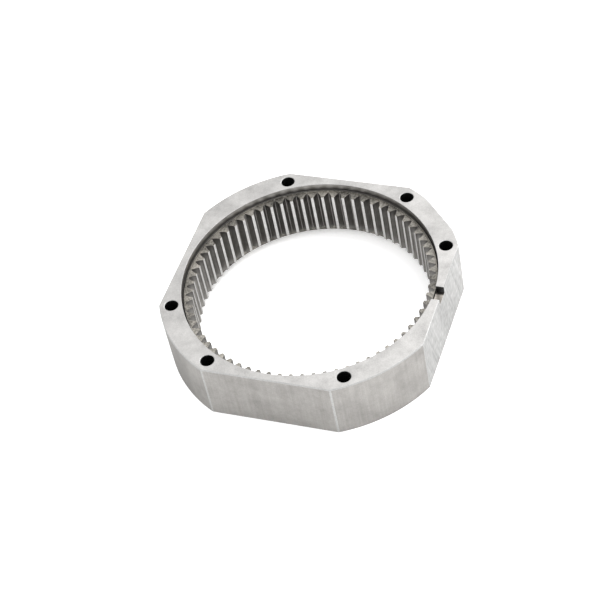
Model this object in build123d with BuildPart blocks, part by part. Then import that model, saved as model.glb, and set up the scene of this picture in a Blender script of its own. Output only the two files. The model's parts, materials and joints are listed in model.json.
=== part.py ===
from build123d import *

import os
from math import acos, atan2, cos, hypot, pi, radians, sin, tan

# Internal ring gear, one piece of steel. Its four flats and round corners seat it in a housing, six
# bolts pass through the corners, and a cover or bearing carrier centres in the counterbore above the
# teeth. The origin is the centre of the lower face, +Z is the gear's axis and points out of the
# counterbore, and the slot through the rim opens towards +X. Millimetres and degrees.

# Teeth: involute near the tips, then straight flanks down to a narrow round root
module_size = 3.5
tooth_count = 69
pressure_angle = 20
tooth_thickness = 5.7  # arc of the involute on the pitch circle
addendum = 4.3
dedendum = 2.75
involute_height = 2.2  # from the tips to the straight flanks
root_round = 0.85

# Ends of the teeth: flat above, slightly coned below
height = 63
upper_step = 1.9  # from the shoulder down to the teeth
shoulder_margin = 0.6  # from the root circle to the step
lower_recess_depth = 5.1
lower_recess_margin = 0.8  # from the root circle to the recess
lower_rise = 2.8  # from the recess to the tips

# Counterbore, with a V-shaped relief between its wall and the narrow shoulder above the teeth
counterbore_depth = 7.5
shoulder_width = 0.6
relief_width = 1.3
relief_depth = 1

# Bolt holes
bolt_hole_radius = 6.75
bolt_hole_break = 0.5  # upper rims
bolt_angles = [27, 61.3, 117, 207, 243, 301.9]

# Rim walls
flat_wall = 8  # from the counterbore to each of the four flats
inner_bolt_wall = 3.55  # from the counterbore to the bolt holes
outer_bolt_wall = 5.45  # from the bolt holes to the round corners
index_flat_depth = 2.2  # short flat on one corner
index_flat_angle = 45
edge_break = 0.8  # outline edges, both faces

# Slot through the rim, level with the counterbore's floor, open to the +X flat
slot_width = 16.5

# Radii and heights worked out from the sizes above
pitch_radius = module_size * tooth_count / 2
base_radius = pitch_radius * cos(radians(pressure_angle))
tip_radius = pitch_radius - addendum
root_radius = pitch_radius + dedendum
involute_radius = tip_radius + involute_height
shoulder_radius = root_radius + shoulder_margin
relief_radius = shoulder_radius + shoulder_width
counterbore_radius = relief_radius + relief_width
counterbore_floor = height - counterbore_depth
teeth_top = counterbore_floor - upper_step
lower_recess_radius = root_radius + lower_recess_margin
bolt_circle_radius = counterbore_radius + inner_bolt_wall + bolt_hole_radius
outer_radius = bolt_circle_radius + bolt_hole_radius + outer_bolt_wall
across_flats = 2 * (counterbore_radius + flat_wall)


def involute(angle):
    """Involute of a pressure angle in radians."""
    return tan(angle) - angle


def half_space(radius):
    """Half the angle between the flanks of a tooth space at a radius, in radians."""
    at_pitch_circle = pi / tooth_count - tooth_thickness / (2 * pitch_radius)
    at_base_circle = at_pitch_circle + involute(radians(pressure_angle))
    return at_base_circle - involute(acos(base_radius / radius))


def flank_point(radius):
    """Point at a radius on one flank of a tooth space centred on the X axis."""
    return (radius * cos(half_space(radius)), radius * sin(half_space(radius)))


def root_touch(start):
    """Point where the line from a flank's end touches the round root."""
    across, up = start[0] - (root_radius - root_round), start[1]
    angle = atan2(up, across) - acos(root_round / hypot(across, up))
    return (root_radius - root_round + root_round * cos(angle), root_round * sin(angle))


# One tooth space, centred on the X axis: involute and straight flanks, and the round root between
flank_start = tip_radius - module_size / 2

with BuildSketch() as tooth_space:
    with BuildLine():
        involute_flank = Spline([flank_point(r) for r in (flank_start, tip_radius, involute_radius)])
        straight_flank = Line(involute_flank @ 1, root_touch(flank_point(involute_radius)))
        opposite_involute = mirror(involute_flank, about=Plane.XZ)
        opposite_straight = mirror(straight_flank, about=Plane.XZ)
        ThreePointArc(straight_flank @ 1, (root_radius, 0), opposite_straight @ 1)
        Line(involute_flank @ 0, opposite_involute @ 0)
    make_face()

with BuildPart() as ring_gear:
    # Blank: a round with four flats, and a short index flat on one corner
    with BuildSketch():
        Circle(outer_radius)
        Rectangle(across_flats, across_flats, mode=Mode.INTERSECT)
        with PolarLocations(outer_radius - index_flat_depth, 1, start_angle=index_flat_angle):
            Rectangle(
                outer_radius, outer_radius, align=(Align.MIN, Align.CENTER), mode=Mode.SUBTRACT
            )
    extrude(amount=height)
    chamfer(ring_gear.faces().filter_by(Axis.Z).edges(), edge_break)

    # Bore: counterbore, relief, shoulder, the ends and tips of the teeth, lower recess
    with BuildSketch(Plane.XZ):
        with BuildLine():
            Polyline(
                (0, 0),
                (lower_recess_radius, 0),
                (lower_recess_radius, lower_recess_depth),
                (tip_radius, lower_recess_depth + lower_rise),
                (tip_radius, teeth_top),
                (shoulder_radius, teeth_top),
                (shoulder_radius, counterbore_floor),
                (relief_radius, counterbore_floor),
                (relief_radius + relief_width / 2, counterbore_floor - relief_depth),
                (counterbore_radius, counterbore_floor),
                (counterbore_radius, height),
                (0, height),
                close=True,
            )
        make_face()
    revolve(axis=Axis.Z, mode=Mode.SUBTRACT)

    # Tooth spaces, from the lower face up, the first one in line with the slot
    with BuildSketch():
        with PolarLocations(0, tooth_count):
            add(tooth_space.sketch)
    extrude(amount=teeth_top, mode=Mode.SUBTRACT)

    # Bolt holes right through the corners, their upper rims broken
    for angle in bolt_angles:
        with Locations(Plane.XY.offset(height)):
            with PolarLocations(bolt_circle_radius, 1, start_angle=angle):
                Hole(bolt_hole_radius)
    upper_rims = ring_gear.edges().group_by(Axis.Z)[-1].filter_by(GeomType.CIRCLE)
    chamfer(upper_rims.filter_by(lambda rim: rim.radius == bolt_hole_radius), bolt_hole_break)

    # Slot through the rim
    with BuildSketch(Plane.XY.offset(counterbore_floor)):
        with Locations((relief_radius, 0)):
            Rectangle(across_flats, slot_width, align=(Align.MIN, Align.CENTER))
    extrude(amount=counterbore_depth, mode=Mode.SUBTRACT)

ring_gear.part.label = "ring_gear"
os.makedirs("parts", exist_ok=True)
export_step(ring_gear.part, "parts/ring_gear.step")
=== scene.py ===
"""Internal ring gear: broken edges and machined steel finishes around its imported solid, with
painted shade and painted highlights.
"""

import json
from math import cos, hypot, pi, radians, sin

import bmesh
import bpy
from bpy.props import FloatProperty, FloatVectorProperty, PointerProperty
from mathutils import Matrix, Vector


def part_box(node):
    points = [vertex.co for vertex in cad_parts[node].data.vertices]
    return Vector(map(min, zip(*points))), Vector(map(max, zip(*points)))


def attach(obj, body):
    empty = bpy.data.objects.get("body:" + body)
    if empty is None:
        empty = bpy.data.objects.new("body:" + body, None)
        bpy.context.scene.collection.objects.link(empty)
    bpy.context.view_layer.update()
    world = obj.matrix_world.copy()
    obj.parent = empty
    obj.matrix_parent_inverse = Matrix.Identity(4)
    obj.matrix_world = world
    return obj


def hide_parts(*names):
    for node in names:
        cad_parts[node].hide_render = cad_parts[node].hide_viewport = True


bl_info = {
    "name": "Internal Ring Gear",
    "version": (1, 0, 0),
    "blender": (4, 5, 0),
    "location": "3D Viewport > Sidebar > Ring Gear",
    "description": "Gives the ring gear its broken edges, its machined finishes and a studio",
    "category": "Object",
}

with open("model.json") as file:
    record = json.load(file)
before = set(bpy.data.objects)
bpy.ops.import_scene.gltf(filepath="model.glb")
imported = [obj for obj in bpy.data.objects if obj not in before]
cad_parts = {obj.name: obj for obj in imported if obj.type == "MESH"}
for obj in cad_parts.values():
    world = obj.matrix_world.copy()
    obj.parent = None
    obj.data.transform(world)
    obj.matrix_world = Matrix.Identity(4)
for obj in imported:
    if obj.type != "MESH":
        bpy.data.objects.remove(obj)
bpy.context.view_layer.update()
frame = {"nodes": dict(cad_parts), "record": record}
GEAR_NODE = "ring_gear"
MM = 0.001
NEAR = 0.05 * MM  # two places nearer than this are one place

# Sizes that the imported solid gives
MOUNTS = {mount["name"]: mount for mount in frame["record"]["mounts"]}
UPPER_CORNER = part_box(GEAR_NODE)[1]
HEIGHT = UPPER_CORNER.z
FLAT_DISTANCE = UPPER_CORNER.x
COUNTERBORE_RADIUS = MOUNTS["counterbore"]["dims"]["r_mm"] * MM
COUNTERBORE_FLOOR = HEIGHT - MOUNTS["counterbore"]["dims"]["length_mm"] * MM
BOLT_HOLES = [mount for name, mount in MOUNTS.items() if name.startswith("bolt_hole")]
BOLT_HOLE_RADIUS = BOLT_HOLES[0]["dims"]["r_mm"] * MM
GEAR_POINTS = [vertex.co for vertex in frame["nodes"][GEAR_NODE].data.vertices]
TIP_RADIUS = min(hypot(point.x, point.y) for point in GEAR_POINTS)
SLOT_HALF_WIDTH = max(
    abs(point.y)
    for point in GEAR_POINTS
    if abs(point.z - COUNTERBORE_FLOOR) < NEAR and abs(point.x - FLAT_DISTANCE) < NEAR
)
SHOULDER_RADIUS = min(
    hypot(point.x, point.y) for point in GEAR_POINTS if abs(point.z - COUNTERBORE_FLOOR) < NEAR
)

# Distances that tell one region from the next
HOLE_RIM_REACH = 1 * MM  # outside a bolt hole's wall, past its broken rim
FLANK_MARGIN = 0.3 * MM  # inside the step that leads down to the teeth
RECESS_REACH = 0.5 * MM  # outside that step, past the lower recess's wall
RELIEF_REACH = 1 * MM  # inside the counterbore's wall, over its relief

# Angles between two faces
SAME_FACE_ANGLE = radians(0.5)  # up to this they are one face
BREAK_ANGLE = radians(18)  # from this on their edge may be broken
SHARP_ANGLE = radians(30)  # above this an edge without a break is sharp

# How a pattern of noise becomes steel
NOISE_RANGE = (0.35, 0.65)  # noise values that become 0 and 1
SHEEN_SPREAD = 0.06  # roughness that a pattern adds or takes away
RELIEF_DEPTH = 0.02 * MM
REFLECTION = (0.6, 0.6, 0.6, 1)  # tint of the steel's reflection at grazing angles

# Floor
FLOOR_REACH = 4  # from the axis to each side
FLOOR_DROP = 0.1 * MM  # below the lower face
FLOOR_ROUGHNESS = 0.8
WHITE = (1, 1, 1, 1)


def length(name, description, default_mm):
    """A length that the user may change, given in millimetres."""
    return FloatProperty(
        name=name, description=description, default=default_mm * MM, min=0,
        unit="LENGTH", precision=5,
    )


def colour(name, description, default):
    """A colour that the user may change."""
    return FloatVectorProperty(
        name=name, description=description, default=default, size=3, min=0, max=1, subtype="COLOR"
    )


def aim(name, default_mm):
    """A coordinate of the point on the upper face that the camera looks at, in millimetres."""
    return FloatProperty(
        name=name, description="Where the line of sight meets the upper face",
        default=default_mm * MM, unit="LENGTH", precision=5,
    )


def angle(name, description, default_degrees):
    """An angle that the user may change, given in degrees."""
    return FloatProperty(
        name=name, description=description, default=radians(default_degrees), subtype="ANGLE"
    )


class RingGearEdges(bpy.types.PropertyGroup):
    """Widths of the gear's broken edges."""

    tooth_profile: length("Tooth profile", "Break along the teeth's ends, above and below", 0.2)
    tooth_tip: length("Tooth tip", "Break between a tooth's tip and its flanks", 0.25)
    tip_end: length("Tip ends", "Break between a tooth's tip and its ends", 0.3)
    rim: length("Rims", "Break of the counterbore's rim, the slot and the outline", 0.3)
    corner: length("Corner lines", "Break where the flats meet the round corners", 1.1)
    hole: length("Hole rims", "Break of the bolt holes' rims", 0.15)


class RingGearColours(bpy.types.PropertyGroup):
    """Colours of the gear's steel, one for each way it was machined; the near black ones are
    painted shade, the broken edges' a painted highlight.
    """

    ground: colour("Ground faces", "Upper and lower face", (0.39, 0.383, 0.375))
    milled: colour("Milled sides", "Three flats and the round corners", (0.295, 0.286, 0.274))
    # Lighter than the milled sides: partly this flat's own finish, partly painted light for the
    # brighter light this flat catches
    stroked: colour("Stroked flat", "Flat that the slot runs out through", (0.395, 0.393, 0.388))
    turned: colour("Turned wall", "Counterbore and its relief", (0.215, 0.206, 0.195))
    shaped: colour("Shaped flanks", "Flanks and roots of the teeth", (0.22, 0.212, 0.202))
    tip: colour("Tooth tips", "Turned tips of the teeth", (0.44, 0.435, 0.425))
    faced: colour("Tooth ends", "Turned ends of the teeth", (0.25, 0.238, 0.216))
    slot_floor: colour("Slot floor", "Milled floor of the slot", (0.34, 0.315, 0.285))
    # Near black: painted shade on the slot walls
    slot_wall: colour("Slot walls", "Walls of the slot, near black as painted shade", (0.03, 0.03, 0.03))
    # Near black: painted shade inside the deep bolt holes
    drilled: colour("Bolt holes", "Drilled walls of the bolt holes", (0.04, 0.04, 0.04))
    # Lighter than the steel beside it: painted highlight along the broken edges and the chamfers
    # of the outline and bolt holes
    painted_highlight: colour("Broken edges", "Bright narrow edges", (0.375, 0.375, 0.37))


class RingGearStage(bpy.types.PropertyGroup):
    """Where the camera and the key light stand, and how bright the studio is."""

    camera_azimuth: angle("Camera azimuth", "0 looks along +Y, 90 along -X", 27.48)
    camera_elevation: angle("Camera elevation", "Angle above the horizon", 46.74)
    camera_roll: angle("Camera roll", "Turn about the line of sight", -12.68)
    camera_distance: length("Camera distance", "From the point that it looks at", 1711.1)
    camera_aim_x: aim("Aim X", 1.82)
    camera_aim_y: aim("Aim Y", -32.41)
    lens: FloatProperty(
        name="Lens", description="Focal length on a 36 mm sensor", default=107.09, unit="CAMERA"
    )
    key_azimuth: angle("Key light azimuth", "Plan angle from +X towards +Y", 47)
    key_elevation: angle("Key light elevation", "Angle above the horizon", 60)
    key_power: FloatProperty(
        name="Key light power", description="Power of the key light", default=22, unit="POWER"
    )
    side_azimuth: angle("Side light azimuth", "Plan angle from +X towards +Y", 66)
    side_elevation: angle("Side light elevation", "Low light below the key light", 18)
    side_power: FloatProperty(
        name="Side light power", description="Power of the side light", default=20, unit="POWER"
    )
    box_size: length("Softbox size", "Side of each square softbox", 1200)
    box_distance: length("Softbox distance", "From the gear's axis", 2000)
    fill: FloatProperty(
        name="Fill", description="Brightness of the light from all round", default=1.5
    )
    floor: colour("Floor", "Colour of the floor", (0.95, 0.95, 0.95))
    glow: FloatProperty(
        name="Floor glow", description="Light that the floor itself gives off", default=0.25
    )


# Regions of the gear's surface, by the way each was machined, and the broken edges that carry a
# painted highlight

REGIONS = [
    "ground", "milled", "stroked", "turned", "shaped", "tip", "faced",
    "slot_floor", "slot_wall", "drilled", "painted_highlight",
]


def region_of(face):
    """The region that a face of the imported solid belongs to."""
    centre, normal = face.calc_center_median(), face.normal
    radius = hypot(centre.x, centre.y)
    level, upright = abs(normal.z) > 0.99, abs(normal.z) < 0.01
    if level and (centre.z > HEIGHT - NEAR or centre.z < NEAR):
        return "ground"
    for hole in BOLT_HOLES:
        if (centre.xy - Vector(hole["pos_m"]).xy).length < BOLT_HOLE_RADIUS + HOLE_RIM_REACH:
            return "drilled" if upright else "painted_highlight"
    if upright and radius < TIP_RADIUS + NEAR:
        return "tip"
    if upright and radius < SHOULDER_RADIUS - FLANK_MARGIN:
        return "shaped"
    in_recess = centre.z < HEIGHT / 2 and radius < SHOULDER_RADIUS + RECESS_REACH
    on_end = level and radius < COUNTERBORE_RADIUS - RELIEF_REACH
    if in_recess or on_end or radius < SHOULDER_RADIUS + NEAR:
        return "faced"
    if radius < COUNTERBORE_RADIUS + NEAR:
        return "turned"
    if level:
        return "slot_floor"
    in_slot = 0 < centre.x < FLAT_DISTANCE - NEAR and abs(centre.y) < SLOT_HALF_WIDTH + NEAR
    if upright and in_slot and centre.z > COUNTERBORE_FLOOR - NEAR:
        return "slot_wall"
    if centre.x > FLAT_DISTANCE - NEAR:
        return "stroked"
    return "milled" if upright else "painted_highlight"


def edge_breaks(sizes):
    """Width of the break on the edge between two regions, bright and plain ones apart."""
    # Bright breaks take the painted highlight colour; plain breaks take the colour of the faces
    # beside them
    bright = [
        (sizes.corner, [("milled", "milled"), ("milled", "stroked")]),
        (sizes.rim, [("ground", "turned"), ("ground", "slot_wall"), ("stroked", "slot_wall")]),
        (sizes.rim, [("stroked", "slot_floor"), ("milled", "painted_highlight"), ("stroked", "painted_highlight")]),
        (sizes.hole, [("ground", "painted_highlight"), ("drilled", "painted_highlight")]),
    ]
    plain = [
        (sizes.tooth_profile, [("faced", "shaped")]),
        (sizes.tooth_tip, [("tip", "shaped")]),
        (sizes.tip_end, [("tip", "faced")]),
        (sizes.hole, [("turned", "faced")]),
    ]
    return {
        name: {frozenset(pair): width for width, pairs in rows for pair in pairs}
        for name, rows in (("bright_break", bright), ("plain_break", plain))
    }


def gear_mesh(breaks):
    """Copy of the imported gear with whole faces, regions, and the width of each broken edge."""
    shape = bmesh.new()
    shape.from_mesh(frame["nodes"][GEAR_NODE].data)
    for layer in list(shape.loops.layers.uv):
        shape.loops.layers.uv.remove(layer)
    bmesh.ops.remove_doubles(shape, verts=shape.verts, dist=NEAR / 10)
    for face in shape.faces:
        face.material_index = REGIONS.index(region_of(face))
        face.smooth = True
    bmesh.ops.dissolve_limit(
        shape, angle_limit=SAME_FACE_ANGLE, verts=shape.verts, edges=shape.edges,
        delimit={"MATERIAL"},
    )
    layers = {name: shape.edges.layers.float.new(name) for name in breaks}
    for edge in shape.edges:
        if len(edge.link_faces) != 2 or edge.calc_face_angle() < BREAK_ANGLE:
            continue
        pair = frozenset(REGIONS[face.material_index] for face in edge.link_faces)
        broken = False
        for name, widths in breaks.items():
            if edge.is_convex and pair in widths:
                edge[layers[name]] = widths[pair] / max(widths.values())
                broken = True
        if not broken and edge.calc_face_angle() > SHARP_ANGLE:
            edge.smooth = False
    mesh = bpy.data.meshes.new(GEAR_NODE)
    shape.to_mesh(mesh)
    shape.free()
    if "custom_normal" in mesh.attributes:
        mesh.attributes.remove(mesh.attributes["custom_normal"])
    return mesh


# Finishes


class Finish:
    """A steel finish in the making: its material, its nodes and its shader."""

    def __init__(self, name, base_colour, roughness):
        self.material = bpy.data.materials.new(name)
        self.material.use_nodes = True
        self.tree = self.material.node_tree
        self.shader = self.tree.nodes["Principled BSDF"]
        self.shader.inputs["Base Color"].default_value = (*base_colour, 1)
        self.shader.inputs["Roughness"].default_value = roughness
        self.shader.inputs["Metallic"].default_value = 1
        self.shader.inputs["Specular Tint"].default_value = REFLECTION
        self.place = self.node("ShaderNodeTexCoord").outputs["Object"]

    def node(self, kind, **settings):
        """A new node with its settings."""
        node = self.tree.nodes.new(kind)
        for name, value in settings.items():
            setattr(node, name, value)
        return node

    def plug(self, socket, value):
        """Sets an input to a value, or joins it to another node's output."""
        if isinstance(value, bpy.types.NodeSocket):
            self.tree.links.new(value, socket)
        else:
            socket.default_value = value

    def feed(self, node, **values):
        """Sets a node's inputs by their names."""
        for name, value in values.items():
            self.plug(node.inputs[name.replace("_", " ")], value)
        return node

    def noise(self, vector):
        """A noise pattern's strength at each place."""
        node = self.feed(self.node("ShaderNodeTexNoise"), Vector=vector, Scale=1, Detail=3)
        return node.outputs["Fac"]

    def stretched(self, fineness, lean):
        """Object coordinates turned back by a lean about X, then scaled along each axis."""
        place = self.place
        for settings in ({"Rotation": (-lean, 0, 0)}, {"Scale": fineness}):
            place = self.feed(self.node("ShaderNodeMapping"), Vector=place, **settings).outputs[0]
        return place

    def blend(self, first, second, share):
        """Two values mixed, the second with the given share."""
        node = self.node("ShaderNodeMix", data_type="FLOAT")
        self.feed(node, Factor=share, A=first, B=second)
        return node.outputs[0]

    def range(self, value, low, high, new_low, new_high):
        """A value moved from one range to another."""
        node = self.node("ShaderNodeMapRange")
        for socket, number in zip(node.inputs, (value, low, high, new_low, new_high)):
            self.plug(socket, number)
        return node.outputs[0]

    def mix(self, factor, first, second):
        """A colour between two, by a factor."""
        node = self.node("ShaderNodeMix", data_type="RGBA")
        factor_and_colours = (node.inputs[0], *node.inputs[6:8])
        for socket, value in zip(factor_and_colours, (factor, first, second)):
            self.plug(socket, value)
        return node.outputs[2]

    def bump(self, height, strength):
        """Fine relief on the surface."""
        node = self.node("ShaderNodeBump")
        self.feed(node, Height=height, Strength=strength, Distance=RELIEF_DEPTH)
        self.feed(self.shader, Normal=node.outputs[0])


def shade(base_colour, factor):
    """A colour made darker or lighter, opaque."""
    return (*(min(1.0, part * factor) for part in base_colour), 1)


def machined(name, base_colour, roughness, depth, patterns, relief=0.0, painted_shade=None):
    """Steel whose colour, sheen and relief follow patterns.

    A pattern is its fineness along X, Y and Z, its lean about X, and its share. A painted shade,
    colour darkened to stand in for shade or shadow, is the axis along which it fades, where it is
    full, where it ends, and its strength.
    """
    finish = Finish(name, base_colour, roughness)
    marks = None
    for fineness, lean, share in patterns:
        pattern = finish.noise(finish.stretched(fineness, lean))
        marks = finish.blend(marks, pattern, share) if marks else pattern
    strength = finish.range(marks, *NOISE_RANGE, 0, 1)
    tint = finish.mix(strength, shade(base_colour, 1 - depth), shade(base_colour, 1 + depth))
    # Painted shade: the colour darkens along one axis where shade or shadow falls
    if painted_shade:
        axis, full, end, darkness = painted_shade
        axes = finish.feed(finish.node("ShaderNodeSeparateXYZ"), Vector=finish.place)
        clear = finish.range(axes.outputs[axis], full, end, 0, 1)
        tint = finish.mix(clear, shade(base_colour, 1 - darkness), tint)
    finish.feed(finish.shader, Base_Color=tint)
    dull, sheen = roughness + SHEEN_SPREAD, roughness - SHEEN_SPREAD
    finish.feed(finish.shader, Roughness=finish.range(strength, 0, 1, dull, sheen))
    if relief:
        finish.bump(marks, relief)
    return finish.material


def finishes(colours):
    """The gear's finishes, in the order of its regions."""
    grain = ((900, 900, 900), 0, 1)
    mottle, cloud = ((200, 200, 200), 0, 0.4), ((45, 45, 45), 0, 0.5)
    upright, level = ((260, 260, 8), 0, 1), ((20, 20, 1500), 0, 1)
    side_marks = [grain, mottle, cloud, ((400, 400, 12), 0, 0.22)]
    strokes = [((20, 420, 10), radians(20), 1), ((20, 110, 7), radians(24), 0.5), mottle]
    slot_marks = [((40, 700, 40), 0, 1), mottle]
    # Painted shade: the milled sides darken towards -X, the side turned away from the key and
    # side lights
    side_painted_shade = ("X", -0.95 * FLAT_DISTANCE, -0.6 * FLAT_DISTANCE, 0.36)
    # Painted shade: the flanks and roots darken towards the tooth ends, for the shade in the deep
    # tooth spaces
    flank_painted_shade = ("Z", COUNTERBORE_FLOOR - 2 * MM, COUNTERBORE_FLOOR - 11 * MM, 0.5)
    # Painted shade: the counterbore's wall darkens towards its foot, where the ledge and teeth
    # close in
    wall_painted_shade = ("Z", COUNTERBORE_FLOOR + 2 * MM, COUNTERBORE_FLOOR + 5 * MM, 0.48)
    # Painted shadow: the slot's floor goes near black beside its +Y wall, the shadow that wall
    # casts
    slot_painted_shade = ("Y", SLOT_HALF_WIDTH - 2.5 * MM, SLOT_HALF_WIDTH - 4.5 * MM, 0.9)
    return [
        machined("ground_steel", colours.ground, 0.52, 0.20, [grain, mottle, cloud], 0.1),
        machined("milled_steel", colours.milled, 0.50, 0.18, side_marks, 0.1, side_painted_shade),
        # Lighter base colour: partly painted light on this flat
        machined("stroked_steel", colours.stroked, 0.45, 0.26, strokes, 0.1),
        machined("turned_steel", colours.turned, 0.40, 0.25, [level, mottle], 0.2, wall_painted_shade),
        machined("shaped_steel", colours.shaped, 0.42, 0.15, [upright, mottle], 0.0, flank_painted_shade),
        machined("tip_steel", colours.tip, 0.40, 0.12, [level, mottle]),
        machined("faced_steel", colours.faced, 0.62, 0.60, [((500, 500, 500), 0, 1), cloud], 0.3),
        machined("slot_floor_steel", colours.slot_floor, 0.45, 0.25, slot_marks, 0.2, slot_painted_shade),
        # Near black colour: painted shade on the slot walls
        machined("slot_wall_steel", colours.slot_wall, 0.50, 0.30, [grain]),
        # Near black colour: painted shade inside the bolt holes
        machined("drilled_steel", colours.drilled, 0.50, 0.30, [level]),
        # Painted highlight on the broken edges and chamfers
        machined("painted_highlight_steel", colours.painted_highlight, 0.45, 0.08, [grain]),
    ]


class RINGGEAR_OT_dress_gear(bpy.types.Operator):
    """Make the gear with broken edges and a finish for each way it was machined"""

    bl_idname = "ring_gear.dress_gear"
    bl_label = "Dress the gear"

    def execute(self, context):
        breaks = edge_breaks(context.scene.ring_gear_edges)
        mesh = gear_mesh(breaks)
        for finish in finishes(context.scene.ring_gear_colours):
            mesh.materials.append(finish)
        gear = bpy.data.objects.new("gear", mesh)
        context.scene.collection.objects.link(gear)
        for name, widths in breaks.items():
            rounding = gear.modifiers.new(name, "BEVEL")
            rounding.limit_method = "WEIGHT"
            rounding.edge_weight = name
            rounding.width = max(widths.values())
            rounding.segments = 2
            rounding.use_clamp_overlap = False
            # The bright breaks take the painted highlight colour
            if name == "bright_break":
                rounding.material = REGIONS.index("painted_highlight")
        evened = gear.modifiers.new("even_shading", "WEIGHTED_NORMAL")
        evened.keep_sharp = True
        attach(gear, "root")
        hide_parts(GEAR_NODE)
        return {"FINISHED"}


# Studio


def direction(azimuth, elevation):
    """Unit vector at a plan angle from +X towards +Y and an angle above the horizon."""
    return Vector((cos(azimuth) * cos(elevation), sin(azimuth) * cos(elevation), sin(elevation)))


def softbox(name, place, size, power):
    """A square area light that faces the origin."""
    light = bpy.data.lights.new(name, "AREA")
    light.shape = "SQUARE"
    light.size = size
    light.energy = power
    box = bpy.data.objects.new(name, light)
    box.location = place
    box.rotation_euler = place.to_track_quat("Z", "Y").to_euler()
    bpy.context.scene.collection.objects.link(box)


class RINGGEAR_OT_set_stage(bpy.types.Operator):
    """Lay the pale floor, light the studio and place the camera"""

    bl_idname = "ring_gear.set_stage"
    bl_label = "Set the stage"

    def execute(self, context):
        stage = context.scene.ring_gear_stage
        self.lay_floor(context.scene, stage)
        self.light(context.scene, stage)
        self.place_camera(context.scene, stage)
        return {"FINISHED"}

    def lay_floor(self, scene, stage):
        """A pale floor that gives off some light of its own."""
        shape = bmesh.new()
        bmesh.ops.create_grid(shape, x_segments=1, y_segments=1, size=FLOOR_REACH)
        mesh = bpy.data.meshes.new("floor")
        shape.to_mesh(mesh)
        shape.free()
        paint = bpy.data.materials.new("floor_paint")
        paint.use_nodes = True
        shader = paint.node_tree.nodes["Principled BSDF"]
        shader.inputs["Base Color"].default_value = (*stage.floor, 1)
        shader.inputs["Roughness"].default_value = FLOOR_ROUGHNESS
        shader.inputs["Emission Color"].default_value = WHITE
        shader.inputs["Emission Strength"].default_value = stage.glow
        mesh.materials.append(paint)
        floor = bpy.data.objects.new("floor", mesh)
        floor.location.z = -FLOOR_DROP
        scene.collection.objects.link(floor)

    def light(self, scene, stage):
        """White light from all round, a key light and a low side light."""
        world = bpy.data.worlds.new("studio")
        world.use_nodes = True
        background = world.node_tree.nodes["Background"]
        background.inputs["Color"].default_value = WHITE
        background.inputs["Strength"].default_value = stage.fill
        scene.world = world
        for name, azimuth, elevation, power in (
            ("key_light", stage.key_azimuth, stage.key_elevation, stage.key_power),
            ("side_light", stage.side_azimuth, stage.side_elevation, stage.side_power),
        ):
            place = direction(azimuth, elevation) * stage.box_distance
            softbox(name, place, stage.box_size, power)
        scene.view_settings.view_transform = "Standard"

    def place_camera(self, scene, stage):
        """The camera, turned about the point that it looks at and moved back from it."""
        lens = bpy.data.cameras.new("camera")
        lens.lens = stage.lens
        camera = bpy.data.objects.new("camera", lens)
        turn = (
            Matrix.Rotation(stage.camera_azimuth, 4, "Z")
            @ Matrix.Rotation(pi / 2 - stage.camera_elevation, 4, "X")
            @ Matrix.Rotation(stage.camera_roll, 4, "Z")
        )
        aim = Matrix.Translation((stage.camera_aim_x, stage.camera_aim_y, HEIGHT))
        camera.matrix_world = aim @ turn @ Matrix.Translation((0, 0, stage.camera_distance))
        scene.collection.objects.link(camera)
        scene.camera = camera


class RINGGEAR_PT_panel(bpy.types.Panel):
    """Sizes, colours and operators of the ring gear"""

    bl_label = "Ring Gear"
    bl_idname = "RINGGEAR_PT_panel"
    bl_space_type = "VIEW_3D"
    bl_region_type = "UI"
    bl_category = "Ring Gear"

    def draw(self, context):
        for group in GROUPS:
            settings = getattr(context.scene, group)
            box = self.layout.box()
            for name in settings.__annotations__:
                box.prop(settings, name)
        for operator in OPERATORS:
            self.layout.operator(operator.bl_idname)


GROUPS = {
    "ring_gear_edges": RingGearEdges,
    "ring_gear_colours": RingGearColours,
    "ring_gear_stage": RingGearStage,
}
OPERATORS = [RINGGEAR_OT_dress_gear, RINGGEAR_OT_set_stage]
CLASSES = [*GROUPS.values(), *OPERATORS, RINGGEAR_PT_panel]


def register():
    for item in CLASSES:
        bpy.utils.register_class(item)
    for name, group in GROUPS.items():
        setattr(bpy.types.Scene, name, PointerProperty(type=group))


def unregister():
    for name in GROUPS:
        delattr(bpy.types.Scene, name)
    for item in reversed(CLASSES):
        bpy.utils.unregister_class(item)


def main():
    register()
    bpy.ops.ring_gear.dress_gear()
    bpy.ops.ring_gear.set_stage()


if __name__ == "__main__":
    main()
